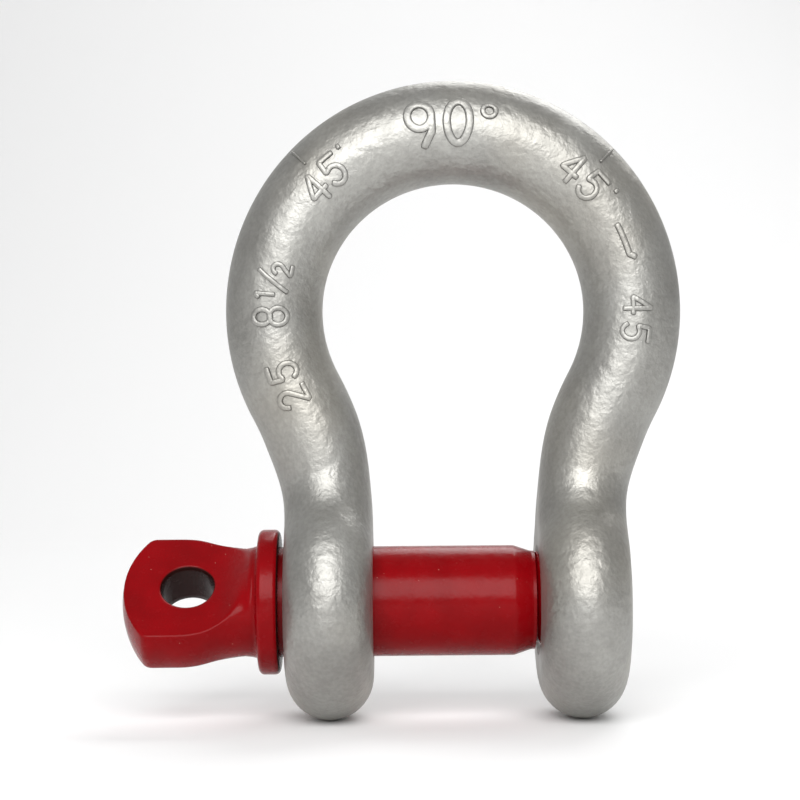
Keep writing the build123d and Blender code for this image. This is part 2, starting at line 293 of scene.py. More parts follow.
class BowShape:
    """The bow's middle line and section, from an ear's lowest point up to the crown."""

    def __init__(self, sizes):
        self.sizes = sizes
        self.ear_radius = BOW_HIGH.y
        self.ear_middle = (JAW_WIDTH + sizes.ear_thickness) / 2
        self.half_ear = sizes.ear_thickness / 2
        self.half_depth = sizes.bar_depth / 2
        self.crown_thickness = BOW_HIGH.z - CROWN_INSIDE
        self.bow_radius = BOW_HIGH.x - sizes.side_thickness / 2
        self.bow_height = BOW_HIGH.z - self.crown_thickness / 2 - self.bow_radius
        rise = self.bow_height - sizes.neck_start
        self.neck_radius = (self.ear_middle**2 + rise**2 - self.bow_radius**2) / (
            2 * (self.bow_radius - self.ear_middle)
        )
        self.turn = np.arctan2(rise, self.ear_middle + self.neck_radius)
        self.hollow_middle = self.half_depth + sizes.ear_hollow
        self.hollow_top = np.sqrt((self.ear_radius + sizes.ear_hollow) ** 2 - self.hollow_middle**2)
        self.hollow_bottom = self.hollow_top * self.ear_radius / (self.ear_radius + sizes.ear_hollow)
        self.neck_length = self.neck_radius * self.turn
        self.crown_at = sizes.neck_start + self.neck_length + self.bow_radius * (self.turn + PI / 2)

    def middle_line(self, along):
        """The middle line at a distance along it: upright through the ear, an arc that leans
        outwards, then the bow's own arc. It returns x, z and the direction of the thickness,
        as an angle from +X."""
        neck = np.clip((along - self.sizes.neck_start) / self.neck_radius, 0, self.turn)
        bow = (along - self.sizes.neck_start - self.neck_length) / self.bow_radius - self.turn
        in_bow = bow > -self.turn
        upright = np.minimum(along, self.sizes.neck_start)
        neck_x = self.ear_middle + self.neck_radius * (1 - np.cos(neck))
        neck_z = upright + self.neck_radius * np.sin(neck)
        x = np.where(in_bow, self.bow_radius * np.cos(bow), neck_x)
        z = np.where(in_bow, self.bow_height + self.bow_radius * np.sin(bow), neck_z)
        return x, z, np.where(in_bow, bow, -neck)

    def half_thickness(self, along):
        """Half the bar's thickness: the ear's, then the neck's, the side's and the crown's, with
        a smooth change from each to the next."""
        s = self.sizes
        _, _, angle = self.middle_line(along)
        to_neck = (s.neck_thickness - s.ear_thickness) * smooth_step(along, s.neck_start, self.hollow_top)
        to_side = (s.side_thickness - s.neck_thickness) * smooth_step(along, *LEG_TAPER)
        to_crown = (self.crown_thickness - s.side_thickness) * np.clip(np.sin(angle), 0, 1) ** 2
        return (s.ear_thickness + to_neck + to_side + to_crown) / 2

    def rim_depth(self, along):
        """How far in from its outline the section is rounded: half the thickness at an ear, whose
        rim is full round, and half the depth in the bar, whose section is an oval."""
        return self.half_ear + (self.half_depth - self.half_ear) * smooth_step(along, *RIM_TAPER)

    def half_outline(self, along):
        """Half the width seen along the pin: the ear's circle, a hollow, then the bar."""
        circle = np.sqrt(np.clip(self.ear_radius**2 - along**2, 0, None))
        up = np.clip(self.hollow_top - along, 0, self.sizes.ear_hollow)
        hollow = self.hollow_middle - np.sqrt(self.sizes.ear_hollow**2 - up**2)
        above_ear = np.where(along < self.hollow_top, hollow, self.half_depth)
        return np.where(along < self.hollow_bottom, circle, above_ear)

    def depth_inside(self, y, along):
        """Distance in from the outline seen along the pin, negative outside it."""
        y = np.abs(y)
        from_circle = self.ear_radius - np.hypot(y, along)
        from_hollow = np.hypot(self.hollow_middle - y, self.hollow_top - along) - self.sizes.ear_hollow
        near_circle = along * self.hollow_middle < y * self.hollow_top
        above_ear = np.where(along < self.hollow_top, from_hollow, self.half_depth - y)
        return np.where(near_circle, from_circle, above_ear)

    def missing(self, y, along):
        """Share of the rim's depth that a place still lacks: 1 on the outline, 0 past the rim."""
        return 1 - np.minimum(self.depth_inside(y, along) / self.rim_depth(along), 1)

    def half_across(self, y, along):
        """The section's half thickness at a place off its middle: a quarter of an oval over the
        rim's depth, then even."""
        return self.half_thickness(along) * np.sqrt(np.clip(1 - self.missing(y, along) ** 2, 0, None))

    def beyond(self, across, y, along):
        """Below 0 inside the section, 0 on it and above 0 outside: the squares of the share of
        the thickness and of the share of the rim's depth still missing, added, less 1."""
        return (across / self.half_thickness(along)) ** 2 + self.missing(y, along) ** 2 - 1

    def rows(self):
        """Distances along the middle line, from just above the ear's lowest point to the crown."""
        turns = np.arange(1, POLE_STEPS) / POLE_STEPS * PI / 2
        pole = -self.ear_radius + self.half_ear * (1 - np.cos(turns))
        first = np.ceil(pole[-1] / ROW_STEP) * ROW_STEP
        ear = np.arange(first, self.sizes.neck_start + ROW_STEP / 2, ROW_STEP)
        steps = int(round((self.crown_at - self.sizes.neck_start) / BAR_STEP))
        bar = np.linspace(self.sizes.neck_start, self.crown_at, steps + 1)[1:]
        return np.concatenate([pole, ear, bar])

    def section(self, along):
        """Points of the section round each row: on rays from the middle line, spread as on an
        oval, the distance at which beyond() is 0 is found by halving. It returns across and y."""
        row = along[:, None]
        turn = np.arange(COLUMNS)[None, :] / COLUMNS * TAU
        ray_across = self.half_across(0 * row, row) * np.cos(turn)
        ray_y = self.half_outline(row) * np.sin(turn)
        low, high = np.zeros(ray_y.shape), np.full(ray_y.shape, SEARCH_REACH)
        for _ in range(HALVINGS):
            middle = (low + high) / 2
            inside = self.beyond(middle * ray_across, middle * ray_y, row) < 0
            low, high = np.where(inside, middle, low), np.where(inside, high, middle)
        return low * ray_across, low * ray_y

    def round_the_bores(self, along, across, y, outer_mouth, inner_mouth):
        """Bends the rows and columns of an ear's faces round its bore: a point's distance from
        the pin's axis grows or shrinks so that the edge of a square patch becomes the bore's
        mouth, less and less further out. It returns the new across, y and height."""
        turn = np.arange(COLUMNS)[None, :] / COLUMNS * TAU
        column = np.abs(np.tan(turn)) / np.tan(FACE_COLUMNS / COLUMNS * TAU)
        row = np.abs(along)[:, None] / FACE_HALF
        patch = np.maximum(np.maximum(row, column), NEAR)
        radius = np.hypot(y, along[:, None])
        mouth = np.where(across > 0, outer_mouth, inner_mouth)
        fade = np.clip((PATCH_REACH - patch) / (PATCH_REACH - 1), 0, 1) * (patch > 1 - 1e-6)
        grow = 1 + (mouth * patch / radius - 1) * fade
        height = along[:, None] * grow
        moved = self.half_across(y * grow, height) * np.sign(across)
        return np.where(fade > 0, moved, across), y * grow, height

    def half_skin(self, side, outer_mouth, inner_mouth):
        """Points of the bow's skin from one ear's lowest point to the crown, in rows."""
        along = self.rows()
        across, y = self.section(along)
        bent_across, bent_y, height = self.round_the_bores(along, across, y, outer_mouth, inner_mouth)
        in_ear = (along <= self.sizes.neck_start + NEAR)[:, None]
        middle_x, middle_z, lean = (a[:, None] for a in self.middle_line(along))
        across = np.where(in_ear, bent_across, across)
        x = middle_x + across * np.cos(lean)
        z = np.where(in_ear, height, middle_z + across * np.sin(lean))
        return np.stack([side * x, np.where(in_ear, bent_y, y), z], axis=-1)


def thread_radius(x, turn, crest, root, crest_half, start):
    """Radius of a right-hand thread at a place along the pin and a turn about it from below:
    flat at the crest, falling at 60 degrees each side to the root."""
    turns = (x - start) / THREAD_PITCH - turn / TAU
    away = np.abs(turns - np.round(turns)) * THREAD_PITCH
    return np.clip(crest - (away - crest_half) / THREAD_FLANK, root, crest)


def plain_bore(shape, turn):
    """The plain ear's bore: places across the ear from its outer face, and radii."""
    end = shape.half_ear - shape.sizes.bore_chamfer
    across = np.linspace(end, -end, PLAIN_ROWS)[:, None]
    return across, shape.sizes.bore_radius + 0 * across * turn


def tapped_bore(shape, pin, turn):
    """The tapped ear's bore: a thread with room for the pin's, cut by a cone at each mouth."""
    s, gap = shape.sizes, shape.sizes.thread_clearance
    across = np.linspace(shape.half_ear, -shape.half_ear, TAPPED_ROWS)[1:-1, None]
    crest, root = pin.crest_radius + gap, pin.root_radius + 2 * gap
    crest_half = pin.crest_width / 2 + gap
    thread = thread_radius(shape.ear_middle + across, turn, crest, root, crest_half, pin.thread_start)
    entry = s.tapped_mouth - (across + shape.half_ear)
    way_out = s.tapped_exit - (shape.half_ear - across)
    return across, np.maximum(np.maximum(thread, entry), way_out)


def ear_wall(shape, pin, side, ring):
    """Points of the wall of an ear's bore, in rings at the turns of the places in a ring."""
    turn = np.arctan2(ring[:, 1], -ring[:, 2])[None, :]
    across, radius = tapped_bore(shape, pin, turn) if side > 0 else plain_bore(shape, turn)
    x = side * (shape.ear_middle + across + 0 * turn)
    return np.stack([x, radius * np.sin(turn), -radius * np.cos(turn)], axis=-1)


def bow_mesh(sizes, pin):
    """The bow: a grid whose rows are sections of the bar, from the right ear's lowest point over
    the crown to the left ear's, closed by a pole at each end. A patch is left out of each face
    of an ear, and a second grid, of circles about the pin's axis, joins the two as the bore."""
    shape = BowShape(sizes)
    plain_mouth = sizes.bore_radius + sizes.bore_chamfer
    right = shape.half_skin(1, sizes.tapped_exit, sizes.tapped_mouth)
    left = shape.half_skin(-1, plain_mouth, plain_mouth)
    rows = np.concatenate([right, left[-2::-1]])
    count = len(rows)
    index = grid_index(0, count, COLUMNS)
    lowest = np.array([[side * shape.ear_middle, 0, -shape.ear_radius] for side in (1, -1)])
    points = np.concatenate([rows.reshape(-1, 3), lowest])
    skin = quads(index)
    keep = np.ones(skin.shape[:2], bool)
    faces = pole_fans(index)
    low, high = (int(np.argmin(np.abs(shape.rows() - edge))) for edge in (-FACE_HALF, FACE_HALF))
    outer = np.arange(-FACE_COLUMNS, FACE_COLUMNS + 1)
    columns = (outer % COLUMNS, COLUMNS // 2 - outer)
    for side, patch in ((1, (low, high)), (-1, (count - 1 - high, count - 1 - low))):
        wall = ear_wall(shape, pin, side, points[patch_ring(index, *patch, columns[0])])
        points, tube = bore(points, index, keep, patch, columns, wall, np.zeros(3), axis=0)
        faces.append(tube)
    return points, faces + [skin[keep]]


class SHACKLE_OT_bow(bpy.types.Operator):
    """Makes the forged bow with its plain ear and its tapped ear"""

    bl_idname = "shackle.bow"
    bl_label = "Bow"

    def execute(self, context):
        scene = context.scene
        points, faces = bow_mesh(scene.shackle_bow, scene.shackle_pin)
        zinc = matt_zinc(scene.shackle_finishes)
        piece = add_piece("forged_bow", points, faces, "bow", zinc, np.radians(32))
        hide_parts("shackle_bow")
        return {"FINISHED"}


# ---- Raised numerals ----

BEAD_COLUMNS = 16  # round a stroke
BEAD_SQUARENESS = 0.6  # 1 for an oval section, less for a flatter top
CURVE_STEP = 0.35 * MM  # between sections of a closed stroke
STROKE_STEP = 0.2 * MM  # between sections of an open one, whose ends are rounded
STEEPEST = 0.01  # least square of a place's share of the depth, near the bar's edge

# each numeral is one or more strokes in a box 1 high, whose middle is at 0, 0
NUMERALS = {
    "0": [arc(0, 0, 0.27, 0.5, 0, 360, 30)],
    "1": [line((-0.14, 0.32), (0.02, 0.5), (0.02, -0.5))],
    "2": [np.concatenate([arc(0, 0.22, 0.27, 0.28, 165, -35), line((-0.28, -0.5), (0.3, -0.5))])],
    "4": [line((0.14, -0.5), (0.14, 0.5), (-0.3, -0.18), (0.32, -0.18))],
    "5": [
        np.concatenate(
            [line((0.27, 0.5), (-0.2, 0.5), (-0.25, 0.08)), arc(-0.02, -0.18, 0.3, 0.32, 125, -150, 16)]
        )
    ],
    "8": [arc(0, 0.24, 0.22, 0.26, 0, 360, 24), arc(0, -0.25, 0.27, 0.27, 0, 360, 24)],
    "9": [arc(0, 0.2, 0.27, 0.3, 0, 360, 26), line((0.27, 0.2), (0.24, -0.2), (0.02, -0.5))],
    "degree": [arc(0, 0, 0.12, 0.12, 0, 360, 18)],
    "tick": [line((0, -0.5), (0, 0.5))],
    "dash": [line((-0.5, 0), (0.4, 0), (0.5, 0.12))],
    "slash": [line((-0.3, -0.5), (0.3, 0.5))],
    "dot": [line((0, -0.03), (0, 0.03))],
}

# sign, distance clockwise from the crown in mm, distance out from the middle line in mm, and the
# height and the stroke's width as shares of the usual ones
MARKS = [
    ("9", -8.0, 1.2, 1.4, 1.45),
    ("0", 1.4, 1.2, 1.4, 1.45),
    ("degree", 8.6, 4.8, 1.7, 0.9),
    ("4", -39.6, 0.2, 1.0, 1.0),
    ("5", -33.0, 0.4, 1.0, 1.0),
    ("dot", -28.6, 4.4, 1.0, 0.8),
    ("tick", -36.8, 9.0, 0.65, 0.4),
    ("4", 32.7, 0.6, 1.0, 1.0),
    ("5", 39.6, 0.5, 1.0, 1.0),
    ("dot", 44.3, 4.6, 1.0, 0.8),
    ("tick", 36.8, 9.0, 0.65, 0.4),
    ("2", -96.4, 0.2, 0.95, 1.0),
    ("5", -89.4, 0.0, 0.95, 1.0),
    ("8", -74.8, 0.4, 1.1, 0.95),
    ("1", -69.2, 2.0, 0.62, 0.85),
    ("slash", -65.8, 0.2, 1.0, 0.85),
    ("2", -62.4, -1.6, 0.62, 0.85),
    ("dash", 56.0, 0.2, 1.15, 1.1),
    ("4", 72.5, 0.3, 0.9, 0.9),
    ("5", 79.6, 0.0, 0.9, 0.9),
]


def unit(vector):
    """A vector's direction."""
    return vector / np.linalg.norm(vector)


def on_front(shape, clockwise, out):
    """Points on the front of the bow, at a distance clockwise from the crown and one out from
    the middle line, and the directions out of the surface there."""
    side = np.where(clockwise < 0, -1.0, 1.0)
    along = shape.crown_at - np.abs(clockwise)
    x, z, lean = shape.middle_line(along)
    half, depth = shape.half_thickness(along), shape.half_depth
    y = -depth * np.sqrt(np.clip(1 - (out / half) ** 2, STEEPEST, None))
    away = np.stack([side * np.cos(lean), 0 * y, np.sin(lean)], axis=-1)
    front = np.array([0.0, 1.0, 0.0])
    middle = np.stack([side * x, 0 * y, z], axis=-1)
    point = middle + away * out[..., None] + front * y[..., None]
    normal = away * (out / half**2)[..., None] + front * (y / depth**2)[..., None]
    return point, normal / np.linalg.norm(normal, axis=-1, keepdims=True)


def spaced(path, step):
    """A path's points again, evenly spaced, and the distance along it to each."""
    run = np.concatenate([[0], np.cumsum(np.linalg.norm(np.diff(path, axis=0), axis=1))])
    even = np.linspace(0, run[-1], max(3, int(np.ceil(run[-1] / step)) + 1))
    return np.stack([np.interp(even, run, path[:, k]) for k in range(path.shape[1])], axis=-1), even


def closed_spine(shape, stroke):
    """Points, normals, directions and sizes of the sections of a stroke that meets itself."""
    path, _ = spaced(stroke, CURVE_STEP)
    point, normal = on_front(shape, path[:-1, 0], path[:-1, 1])
    forward = np.roll(point, -1, axis=0) - np.roll(point, 1, axis=0)
    return point, normal, forward, np.ones(len(point))


def open_spine(shape, stroke, half):
    """The same of a stroke with two ends. It is longer by half its width at each end, where the
    section shrinks so that the end is round. The first and last sections have no size."""
    path, _ = spaced(stroke, CURVE_STEP)
    reach = 0.999 * half
    first = path[0] - reach * unit(path[1] - path[0])
    last = path[-1] + reach * unit(path[-1] - path[-2])
    path, run = spaced(np.concatenate([[first], path, [last]]), STROKE_STEP)
    point, normal = on_front(shape, path[:, 0], path[:, 1])
    left = np.minimum(run, run[-1] - run)
    size = np.sqrt(np.clip(1 - (1 - np.minimum(left / half, 1)) ** 2, 0.0, 1))
    return point[1:-1], normal[1:-1], np.gradient(point, axis=0)[1:-1], size[1:-1]


def bead(shape, stroke, half, relief):
    """One stroke: a flattened oval section carried along a path on the bow's front. It returns its points, the
    share of painted crease shade at each, and its faces."""
    closed = np.linalg.norm(stroke[0] - stroke[-1]) < NEAR
    spine = closed_spine(shape, stroke) if closed else open_spine(shape, stroke, half)
    point, normal, forward, size = spine
    across = np.cross(forward / np.linalg.norm(forward, axis=1, keepdims=True), normal)
    angle = (np.arange(BEAD_COLUMNS) / BEAD_COLUMNS * TAU)[None, :, None]
    wide, tall = (np.sign(v) * np.abs(v) ** BEAD_SQUARENESS for v in (np.cos(angle), np.sin(angle)))
    bulge = across[:, None] * wide * half + normal[:, None] * tall * relief
    rings = point[:, None] + bulge * size[:, None, None]
    points = rings.reshape(-1, 3)
    # painted shade: the share is full low on the bead, where it meets the bow, and none on its top
    crease_shade = np.clip(1.5 - 1.8 * (tall * size[:, None, None])[..., 0], 0, 1).ravel()
    index = grid_index(0, len(rings), BEAD_COLUMNS)
    if closed:
        return points, crease_shade, [quads(np.concatenate([index, index[:1]])).reshape(-1, 4)[:, ::-1]]
    faces = [f[:, ::-1] for f in (quads(index).reshape(-1, 4), *pole_fans(index))]
    return np.concatenate([points, point[[0, -1]]]), np.append(crease_shade, [1, 1]), faces


def marks_mesh(sizes, marks):
    """Every stroke of every numeral, each a closed bead sunk half its height in the bow."""
    shape = BowShape(sizes)
    points, crease_shades, faces, total = [], [], [], 0
    for sign, clockwise, out, tall, bold in MARKS:
        for stroke in NUMERALS[sign]:
            place = stroke * marks.height * tall + np.array([clockwise, out]) * MM
            more, crease_shade, added = bead(shape, place, marks.stroke / 2 * bold, marks.relief)
            points.append(more)
            crease_shades.append(crease_shade)
            faces += [f + total for f in added]
            total += len(more)
    return np.concatenate(points), np.concatenate(crease_shades), faces


class SHACKLE_OT_marks(bpy.types.Operator):
    """Makes the raised numerals on the front of the bow"""

    bl_idname = "shackle.marks"
    bl_label = "Raised Numerals"

    def execute(self, context):
        scene = context.scene
        points, crease_shades, faces = marks_mesh(scene.shackle_bow, scene.shackle_marks)
        zinc = matt_zinc(scene.shackle_finishes)
        piece = add_piece("raised_numerals", points, faces, "bow", zinc, PI)
        add_share(piece, "crease_shade", crease_shades)
        return {"FINISHED"}


# ---- Collar and shank ----

TURN_COLUMNS = 144  # round the shank and the collar
COLLAR_SUNK = 0.2 * MM  # how far the collar's closed side lies inside the neck
FACE_LIP = 1 * MM  # flat of the collar's face and bore before its first bend
BEARING_FACE = 0.25 * MM  # depth of the collar's face that is painted near-black as shade
SHANK_IN_COLLAR = 3 * MM  # how far the shank goes into the collar
THREAD_ROWS = 160
LAND_STEP = 0.25 * MM  # over which the plain ring ends


def turned_grid(x, radius):
    """Points of circles about the pin's axis: one row for each place along it."""
    turn = np.arange(TURN_COLUMNS)[None, :] / TURN_COLUMNS * TAU
    radius = radius * np.ones(turn.shape)
    return np.stack([x + 0 * radius, radius * np.sin(turn), -radius * np.cos(turn)], axis=-1)


def collar_mesh(pin):
    """The collar: a closed outline turned about the pin's axis, with rounded rims and a hollow
    where it meets the neck."""
    back, face, outer = COLLAR_LOW.x, COLLAR_HIGH.x, COLLAR_HIGH.y
    r, root, inner = pin.collar_rounding, pin.collar_root, pin.neck_radius + 0.01 * MM
    outline = np.concatenate(
        [
            line((face, inner), (face, inner + FACE_LIP), (face, outer - r)),
            arc(face - r, outer - r, r, r, 0, 90, 9),
            arc(back + r, outer - r, r, r, 90, 180, 9),
            arc(back - root, inner + root, root, root, 0, -90, 9),
            line((back - root, inner - COLLAR_SUNK), (face - FACE_LIP, inner - COLLAR_SUNK)),
        ]
    )
    grid = turned_grid(outline[:, :1], outline[:, 1:])
    index = grid_index(0, len(outline), TURN_COLUMNS)
    return grid.reshape(-1, 3), [quads(np.concatenate([index, index[:1]])).reshape(-1, 4)[:, ::-1]]


class SHACKLE_OT_collar(bpy.types.Operator):
    """Makes the pin's collar"""

    bl_idname = "shackle.collar"
    bl_label = "Collar"

    def execute(self, context):
        scene = context.scene
        points, faces = collar_mesh(scene.shackle_pin)
        enamel = gloss_enamel(scene.shackle_finishes)
        piece = add_piece("round_collar", points, faces, "collar", enamel, np.radians(40))
        # painted shade: the collar's face by the ear is coloured near-black, for the shadow in the gap
        painted_shade = points_of(piece)[:, 0] > COLLAR_HIGH.x - BEARING_FACE
        add_share(piece, "painted_shade", painted_shade.astype(float))
        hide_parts("pin_collar")
        return {"FINISHED"}


def shank_radius(pin, x, turn):
    """Radius of the pin from the collar to its end: the shank, a cone, a plain ring and the
    thread, which a cone cuts at the end."""
    down = np.clip((x - pin.shoulder_start) / (pin.shoulder_end - pin.shoulder_start), 0, 1)
    cone = PIN_RADIUS + (pin.land_radius - PIN_RADIUS) * down
    thread = thread_radius(
        x, turn, pin.crest_radius, pin.root_radius, pin.crest_width / 2, pin.thread_start
    )
    past_land = smooth_step(x, pin.land_end, pin.land_end + LAND_STEP)
    land = pin.land_radius - (pin.land_radius - pin.root_radius) * past_land
    body = np.where(x <= pin.land_end, cone, np.maximum(thread, land))
    return np.minimum(body, pin.crest_radius - pin.end_chamfer + (PIN_HIGH.x - x) + NEAR)


def shank_mesh(pin):
    """The shank and its thread: circles about the pin's axis whose radius depends on the place
    along it and, in the thread, on the turn. Rows crowd where the outline bends."""
    start, ease = COLLAR_HIGH.x - SHANK_IN_COLLAR, pin.shoulder_easing
    stops = [start, pin.shoulder_start - ease, pin.shoulder_start + ease, pin.shoulder_end - ease]
    stops += [pin.land_end, PIN_HIGH.x]
    counts = [24, 7, 5, 10, THREAD_ROWS]
    stretches = [np.linspace(*stretch)[1:] for stretch in zip(stops, stops[1:], counts)]
    x = np.concatenate([[start], *stretches])[:, None]
    turn = np.arange(TURN_COLUMNS)[None, :] / TURN_COLUMNS * TAU
    radius = shank_radius(pin, x, turn)
    eased = (shank_radius(pin, x - ease / 2, turn) + 2 * radius + shank_radius(pin, x + ease / 2, turn)) / 4
    radius = np.where((x < pin.land_end - ease) & (x > start + ease), eased, radius)
    poles = np.array([[start, 0, 0], [PIN_HIGH.x, 0, 0]])
    points = np.concatenate([turned_grid(x, radius).reshape(-1, 3), poles])
    index = grid_index(0, len(x), TURN_COLUMNS)
    return points, [quads(index).reshape(-1, 4), *pole_fans(index)]


class SHACKLE_OT_shank(bpy.types.Operator):
    """Makes the pin's shank, its cone and its thread"""

    bl_idname = "shackle.shank"
    bl_label = "Shank and Thread"

    def execute(self, context):
        scene = context.scene
        points, faces = shank_mesh(scene.shackle_pin)
        enamel = gloss_enamel(scene.shackle_finishes)
        piece = add_piece("threaded_shank", points, faces, "pin", enamel, np.radians(48))
        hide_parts("screw_pin")
        return {"FINISHED"}


# ---- Eye ----

EYE_STEP = 0.8 * MM  # between rows and columns round the eye's hole
EYE_PATCH = 7  # rows and columns each side of the hole that it takes
EYE_REACH = 1.9  # how far the rows round the hole bend, as a share of the patch
FLAT_COLUMNS = 20  # from the middle of a flat to near its edge
EDGE_COLUMNS = 4  # over an edge of a flat
RIM_COLUMNS = 9  # from that edge to the middle of the eye's side
HOLE_ROWS = 9
EYE_CRISPNESS = 90  # how tightly the edges of the flats are rounded
NECK_CRISPNESS = 5  # the same where the flats run out at the neck
EDGE_ROUNDING = 0.5 * MM  # half the width of an edge of a flat
SMALLEST_RING = 4 * MM  # below this radius those edges get no narrower
FULLEST_EDGE = np.sin(np.radians(62))  # an edge gets no nearer to the middle of its flat
EYE_IN_COLLAR = 2 * MM  # how far the neck goes into the collar
SHADE_REACH = 1.01  # of the hole's radius, the part round its axis that is painted near-black as the hole's shade


def eye_outline(pin):
    """Half the eye's outline, as places and radii from its tip to the collar: an arc about the
    axis, a rounded corner, the straight side, an S down to the neck, and the neck."""
    tip, half, end, corner = PIN_LOW.x, pin.eye_half_width, pin.eye_end_radius, pin.eye_corner_radius
    corner_z = half - corner
    corner_x = tip + end - np.sqrt((end - corner) ** 2 - corner_z**2)
    meet = np.degrees(np.arctan2(corner_z, tip + end - corner_x))
    dome = arc(tip + end, 0, end, end, 180, 180 - meet, 26)[1:]
    bend = arc(corner_x, corner_z, corner, corner, 180 - meet, 90, 9)[1:]
    swell_end = COLLAR_LOW.x - pin.plain_neck
    t = np.linspace(0, 1, 60)
    swell_x = swell_end - pin.eye_swell * (1 - 1.5 * t * (1 - t) - t**3)
    swell_radius = half + (pin.neck_radius - half) * t * t * (3 - 2 * t)
    first = np.ceil((corner_x - EYE_MIDDLE) / EYE_STEP + 0.3)
    stop = (COLLAR_LOW.x + EYE_IN_COLLAR - EYE_MIDDLE) / EYE_STEP
    x = EYE_MIDDLE + np.arange(first, stop) * EYE_STEP
    rest = np.stack([x, np.interp(x, swell_x, swell_radius)], axis=-1)
    return np.concatenate([dome, bend, rest])


def flat_height(pin, x):
    """Half the eye's thickness between its flats: even, then a hollow that rises to the neck."""
    r = pin.runout_radius
    rise = pin.neck_radius - pin.eye_half_thickness
    run = np.sqrt(r**2 - (r - rise) ** 2)
    start = COLLAR_LOW.x - pin.runout_gap - run
    into = np.clip(x - start, 0, 0.999 * r)
    return pin.eye_half_thickness + r - np.sqrt(r**2 - into**2)


def eye_turns(pin, x, radius):
    """Angles of the columns round the eye, from the middle of its side: evenly over the side to
    the edge of the flat, closely over the edge, then evenly across the flat."""
    edge = np.arcsin(np.clip(flat_height(pin, x) / radius, 0, FULLEST_EDGE))
    near = EDGE_ROUNDING / np.maximum(radius, SMALLEST_RING)
    side = (edge - near) * np.arange(RIM_COLUMNS) / RIM_COLUMNS
    bend = edge - near + 2 * near * np.arange(EDGE_COLUMNS) / EDGE_COLUMNS
    flat = np.arange(FLAT_COLUMNS + 1) / FLAT_COLUMNS
    across = np.arctan2(np.tan(edge + near) * np.ones(flat.shape), 1 - flat)
    quarter = np.concatenate([side, bend, across], axis=1)
    half = np.concatenate([quarter, PI - quarter[:, -2::-1]], axis=1)
    return np.concatenate([half, PI + half[:, 1:-1]], axis=1)


def eye_skin(pin, outline):
    """Points of the eye and its neck in rows, along the pin, across the flats and square to
    them. The radius is where the share of the round and the share of the flat's height, each
    raised to a high power, add up to 1, so the edges are slightly rounded. Rows and columns
    bend round the hole as they do round the ears' bores."""
    x, radius = outline[:, :1], outline[:, 1:]
    turn = eye_turns(pin, x, radius)
    height = flat_height(pin, x)
    run_out = smooth_step(x, EYE_MIDDLE + EYE_HOLE_RADIUS, COLLAR_LOW.x - pin.runout_gap)
    power = EYE_CRISPNESS * (NECK_CRISPNESS / EYE_CRISPNESS) ** run_out
    reach = ((1 / radius) ** power + (np.abs(np.sin(turn)) / height) ** power) ** (-1 / power)
    along, across, lift = x + 0 * turn, reach * np.cos(turn), reach * np.sin(turn)
    patch_edge = np.abs(across[:, turn.shape[1] // 4 - EYE_PATCH])[:, None]
    patch = np.maximum(np.abs(along - EYE_MIDDLE) / (EYE_PATCH * EYE_STEP), np.abs(across) / patch_edge)
    patch = np.maximum(patch, NEAR)
    on_flat = np.abs(np.sin(turn)) * radius > 1.02 * height
    fade = np.clip((EYE_REACH - patch) / (EYE_REACH - 1), 0, 1) * (patch > 1 - 1e-6) * on_flat
    distance = np.maximum(np.hypot(along - EYE_MIDDLE, across), NEAR)
    grow = 1 + ((EYE_HOLE_RADIUS + pin.hole_chamfer) * patch / distance - 1) * fade
    along = EYE_MIDDLE + (along - EYE_MIDDLE) * grow
    lift = np.where(fade > 0, flat_height(pin, along) * np.sign(lift), lift)
    return np.stack([along, across * grow, lift], axis=-1)


def hole_wall(pin, ring):
    """Points of the eye's hole between its two chamfers, in rows, below a ring on one flat."""
    angle = np.arctan2(ring[:, 1], ring[:, 0] - EYE_MIDDLE)
    level = np.linspace(1, -1, HOLE_ROWS)[:, None]
    lift = (ring[:, 2] - pin.hole_chamfer) * level
    x = EYE_MIDDLE + EYE_HOLE_RADIUS * np.cos(angle) + 0 * level
    return np.stack([x, EYE_HOLE_RADIUS * np.sin(angle) + 0 * level, lift], axis=-1)


def eye_mesh(pin):
    """The eye and its neck: a grid closed by a pole at each end, with a patch left out of each
    flat and a tube that joins the two as the hole, all turned to the eye's own angle."""
    outline = eye_outline(pin)
    rows = eye_skin(pin, outline)
    columns = rows.shape[1]
    quarter = columns // 4
    index = grid_index(0, len(rows), columns)
    poles = np.array([[PIN_LOW.x, 0, 0], [outline[-1, 0], 0, 0]])
    points = np.concatenate([rows.reshape(-1, 3), poles])
    skin = quads(index)
    keep = np.ones(skin.shape[:2], bool)
    middle = int(np.argmin(np.abs(outline[:, 0] - EYE_MIDDLE)))
    patch = (middle - EYE_PATCH, middle + EYE_PATCH)
    upper = np.arange(quarter - EYE_PATCH, quarter + EYE_PATCH + 1)
    wall = hole_wall(pin, points[patch_ring(index, *patch, upper)])
    hole_middle = np.array([EYE_MIDDLE, 0, 0])
    points, hole = bore(points, index, keep, patch, (upper, columns - upper), wall, hole_middle, axis=2)
    along_pin = np.array([1.0, 0.0, 0.0])
    tilt = np.array([along_pin, np.cross(EYE_NORMAL, along_pin), EYE_NORMAL])
    return points @ tilt, [*pole_fans(index), hole, skin[keep]]


class SHACKLE_OT_eye(bpy.types.Operator):
    """Makes the pin's flat eye, with its hole, and its neck"""

    bl_idname = "shackle.eye"
    bl_label = "Eye"

    def execute(self, context):
        scene = context.scene
        points, faces = eye_mesh(scene.shackle_pin)
        enamel = gloss_enamel(scene.shackle_finishes)
        piece = add_piece("flat_eye", points, faces, "pin", enamel, np.radians(50))
        from_hole = points_of(piece) - [EYE_MIDDLE, 0, 0]
        from_axis = np.linalg.norm(np.cross(from_hole, EYE_NORMAL), axis=1)
        # painted shade: the inside of the eye's hole is coloured near-black
        add_share(piece, "painted_shade", (from_axis < EYE_HOLE_RADIUS * SHADE_REACH).astype(float))
        return {"FINISHED"}


# ---- Materials ----


